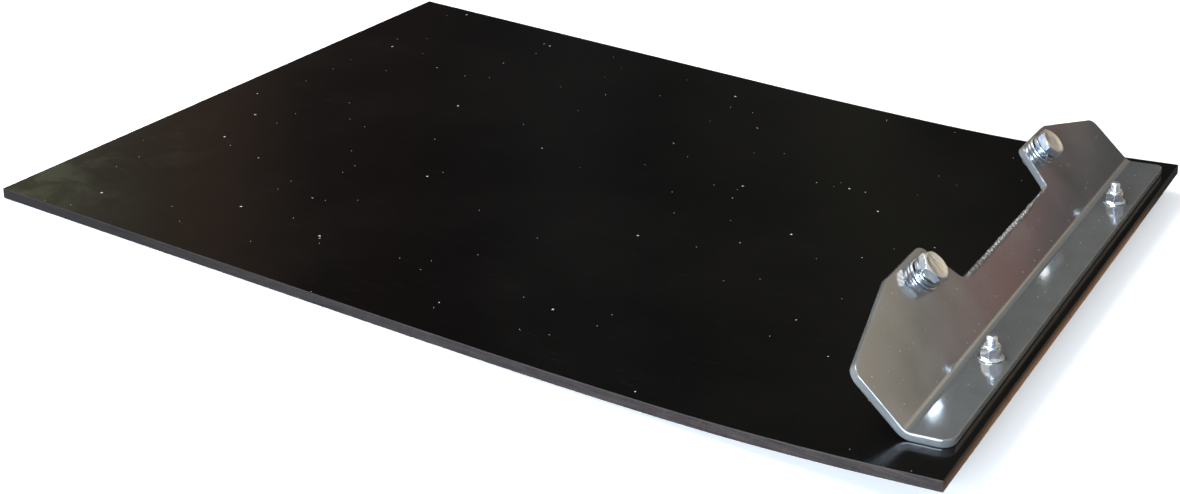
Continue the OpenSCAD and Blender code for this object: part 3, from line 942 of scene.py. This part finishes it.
def carriage_bolt(which, turn_deg):
    """Domed head under the sheet, square neck, thread upwards."""
    head_r, head_h, length, pitch = 8.15, 3.75, 24.1, 1.0
    dome_r = (head_r * head_r + head_h * head_h) / (2 * head_h)
    rows = []
    for k in np.linspace(0.03, 1, 16):
        radius = head_r * k
        z = dome_r - head_h - math.sqrt(dome_r * dome_r - radius * radius)
        rows.append((min(z, -0.12) if k > 0.97 else z, radius))
    rows += [(-0.04, head_r), (-0.02, head_r - 0.12), (-0.02, 4.8)]
    phi = np.mod(HEX_ANGLES - PI / 4, PI / 2) - PI / 4
    square = np.minimum(3.15 / np.cos(phi), 4.2)
    rows += [(0.0, square), (1.0, square), (3.4, square), (3.9, np.minimum(square, 3.5)),
             (4.3, 2.95)]
    for z in np.arange(4.5, length + 0.01, pitch / 10):
        point = 1.95 + (length - z) * 1.15
        radius = thread(HEX_ANGLES, z, pitch, major=2.97, depth=0.56)
        rows.append((z, np.minimum(radius, point)))
    rows += [(length, 1.7), (length - 0.02, 0.8)]
    points, faces = turned(rows, HEX_ANGLES)
    points = put(points, at_stud(which), turn_deg, lift=-PLATE_T - PANEL_T)
    hardware_object("round_head_bolt_" + which, points, faces, ZINC_BOLT, "panel_assembly",
                    "carriage_bolt_" + which, 38)


build_sheet()
build_bracket()
# turns in degrees of the bolt head, the split in the lock washer and the nut
for which, head_deg, split_deg, nut_deg in (("near", 12, 250, 36), ("far", 35, 300, 41)):
    mounting_bolt(which, head_deg)
    flat_washer(which)
    lock_washer(which, split_deg)
    flange_nut(which, nut_deg)
    nylon_ring(which)
    carriage_bolt(which, 20 + nut_deg)


# ---------------------------------------------------------------- floor (metres from here on)
def floor_material():
    """Pale and softly glowing, but a bluish to brown glow when seen in reflections."""
    material = bpy.data.materials.new("floor pale")
    g = Graph(material, "ShaderNodeOutputMaterial")
    diffuse = g.add("ShaderNodeBsdfDiffuse", {"Color": (0.86, 0.86, 0.855)}).outputs[0]
    glow = g.add("ShaderNodeEmission", {"Color": (1, 1, 0.995), "Strength": 0.38}).outputs[0]
    seen = g.add("ShaderNodeAddShader", {0: diffuse, 1: glow}).outputs[0]
    at = g.axes(g.add("ShaderNodeNewGeometry").outputs["Position"])
    tint = g.mix(g.remap(at["Y"], over=(-0.32, -0.12)),
                 base=(0.62, 0.74, 0.95), colour=(0.30, 0.25, 0.22))
    mirrored = g.add("ShaderNodeEmission", {"Color": tint, "Strength": 0.8}).outputs[0]
    ray = g.add("ShaderNodeLightPath").outputs
    g.feed(g.surface, g.mix_shader(ray["Is Glossy Ray"], seen, mirrored))
    return material


def build_floor():
    half, drop = 12, 0.0006
    mesh = bpy.data.meshes.new("floor")
    mesh.from_pydata([(-half, -half, 0), (half, -half, 0), (half, half, 0), (-half, half, 0)],
                     [], [(0, 1, 2, 3)])
    floor = bpy.data.objects.new("floor", mesh)
    floor.location = (0, 0, -drop)
    scene.collection.objects.link(floor)
    mesh.materials.append(floor_material())


# ---------------------------------------------------------------- world
# Reflected surroundings: (degrees from +Y towards +X, colour)
AROUND = [
    (-180, (0.75, 0.92, 1.20)), (-130, (0.62, 0.74, 0.92)), (-80, (0.62, 0.60, 0.54)),
    (-56, (0.46, 0.43, 0.31)), (-46.5, (0.36, 0.35, 0.23)), (-44.8, (0.20, 0.18, 0.14)),
    (-42, (0.17, 0.105, 0.075)), (-40, (0.13, 0.09, 0.07)), (-38, (0.04, 0.036, 0.034)),
    (-36, (0.045, 0.030, 0.027)), (-32, (0.026, 0.025, 0.025)), (-29, (0.05, 0.049, 0.048)),
    (-26.5, (0.028, 0.028, 0.028)), (-23.3, (0.05, 0.05, 0.045)), (-21.8, (0.032, 0.032, 0.028)),
    (-20.2, (0.10, 0.098, 0.075)), (-18.9, (0.035, 0.034, 0.03)), (-12.5, (0.03, 0.03, 0.027)),
    (-8, (0.25, 0.24, 0.22)), (9, (0.34, 0.32, 0.28)), (38, (0.16, 0.14, 0.13)),
    (60, (0.10, 0.09, 0.08)), (100, (0.16, 0.14, 0.13)), (140, (0.6, 0.7, 0.9)),
    (180, (0.75, 0.92, 1.20))]
# Within one sector the colour goes by height instead: (degrees above the horizon, colour)
CREAM = [(20.9, (0.84, 0.68, 0.48)), (23.5, (0.95, 0.80, 0.56)), (29, (1.15, 0.99, 0.76)),
         (40, (1.0, 0.9, 0.75))]
WITH_RED = [(8, (0.04, 0.038, 0.033)), (16.5, (0.045, 0.04, 0.033)), (17.1, (0.50, 0.17, 0.12)),
            (18.8, (0.46, 0.16, 0.12)), (19.4, (0.11, 0.135, 0.10)),
            (20.1, (0.13, 0.145, 0.11))] + CREAM
NO_RED = [(8, (0.04, 0.038, 0.033)), (16.5, (0.05, 0.045, 0.036)), (18.6, (0.14, 0.13, 0.095)),
          (20.1, (0.30, 0.27, 0.19))] + CREAM


def radians(*degrees):
    return tuple(math.radians(d) for d in degrees)


def build_world():
    world = bpy.data.worlds.new("studio")
    scene.world = world
    g = Graph(world, "ShaderNodeOutputWorld")
    toward = g.axes(g.add("ShaderNodeTexCoord").outputs["Generated"])
    azimuth = g.math("ARCTAN2", toward["X"], toward["Y"])
    around = g.colour_ramp(g.remap(azimuth, over=(-PI, PI), smooth=False), AROUND, -180.0, 180.0)
    height = g.remap(g.math("ARCSINE", toward["Z"]), over=radians(8, 40), smooth=False)
    with_red = g.colour_ramp(height, WITH_RED, 8, 40)
    no_red = g.colour_ramp(height, NO_RED, 8, 40)
    red = g.band(azimuth, rise=radians(12, 17), fall=radians(25.0, 25.5), beyond=0.35)
    sector = g.band(azimuth, rise=radians(8, 16.5), fall=radians(33, 42))
    colour = g.mix(sector, around, g.mix(red, no_red, with_red))
    sky = g.add("ShaderNodeRGB").outputs[0]
    sky.default_value = (0.85, 0.86, 0.88, 1)
    overhead = g.remap(toward["Z"], over=tuple(math.sin(a) for a in radians(36, 58)))
    # separate backgrounds for reflections, for lighting and for the camera
    reflected, lighting, camera_view = (
        g.add("ShaderNodeBackground", {"Color": c}).outputs[0]
        for c in (g.mix(overhead, colour, sky), (0.42, 0.43, 0.45), (1, 1, 1)))
    ray = g.add("ShaderNodeLightPath").outputs
    shader = g.mix_shader(ray["Is Glossy Ray"], lighting, reflected)
    g.feed(g.surface, g.mix_shader(ray["Is Camera Ray"], shader, camera_view))


# ---------------------------------------------------------------- lights and camera
# name, location, target, (width, height), watts, colour
LIGHTS = [
    ("soft top", (-1.1, -0.25, 1.7), (0, 0, 0), (1.4, 1.4), 42, (1.0, 0.99, 0.97)),
    ("soft front", (0.15, -2.0, 0.5), (0.15, 0, 0.03), (1.6, 0.6), 95, (0.66, 0.82, 1.0)),
    ("warm side", (1.5, 1.3, 0.95), (0.2, 0, 0.05), (0.8, 0.8), 1.4, (1.0, 0.86, 0.66))]


def area_light(name, location, target, size, watts, colour):
    light = bpy.data.lights.new(name, "AREA")
    light.shape = "RECTANGLE"
    light.size, light.size_y = size
    light.energy = watts
    light.color = colour
    obj = bpy.data.objects.new(name, light)
    obj.location = location
    aim = Vector(target) - Vector(location)
    obj.rotation_euler = aim.to_track_quat("-Z", "Y").to_euler()
    scene.collection.objects.link(obj)


def add_camera():
    camera = bpy.data.cameras.new("camera")
    camera.sensor_fit = "HORIZONTAL"
    camera.sensor_width = 36.0
    camera.lens = 55.14220678
    camera.clip_start, camera.clip_end = 0.01, 100
    obj = bpy.data.objects.new("camera", camera)
    scene.collection.objects.link(obj)
    obj.matrix_world = Matrix((
        (0.86670566, -0.26093521, 0.42512835, 0.484104384),
        (0.49576575, 0.35643499, -0.79194092, -0.932202618),
        (0.05511466, 0.89714375, 0.43828696, 0.474247933),
        (0, 0, 0, 1)))
    scene.camera = obj


scene.view_settings.view_transform = "Standard"
scene.view_settings.look = "None"
scene.view_settings.exposure = 0.0
build_floor()
build_world()
for light in LIGHTS:
    area_light(*light)
add_camera()
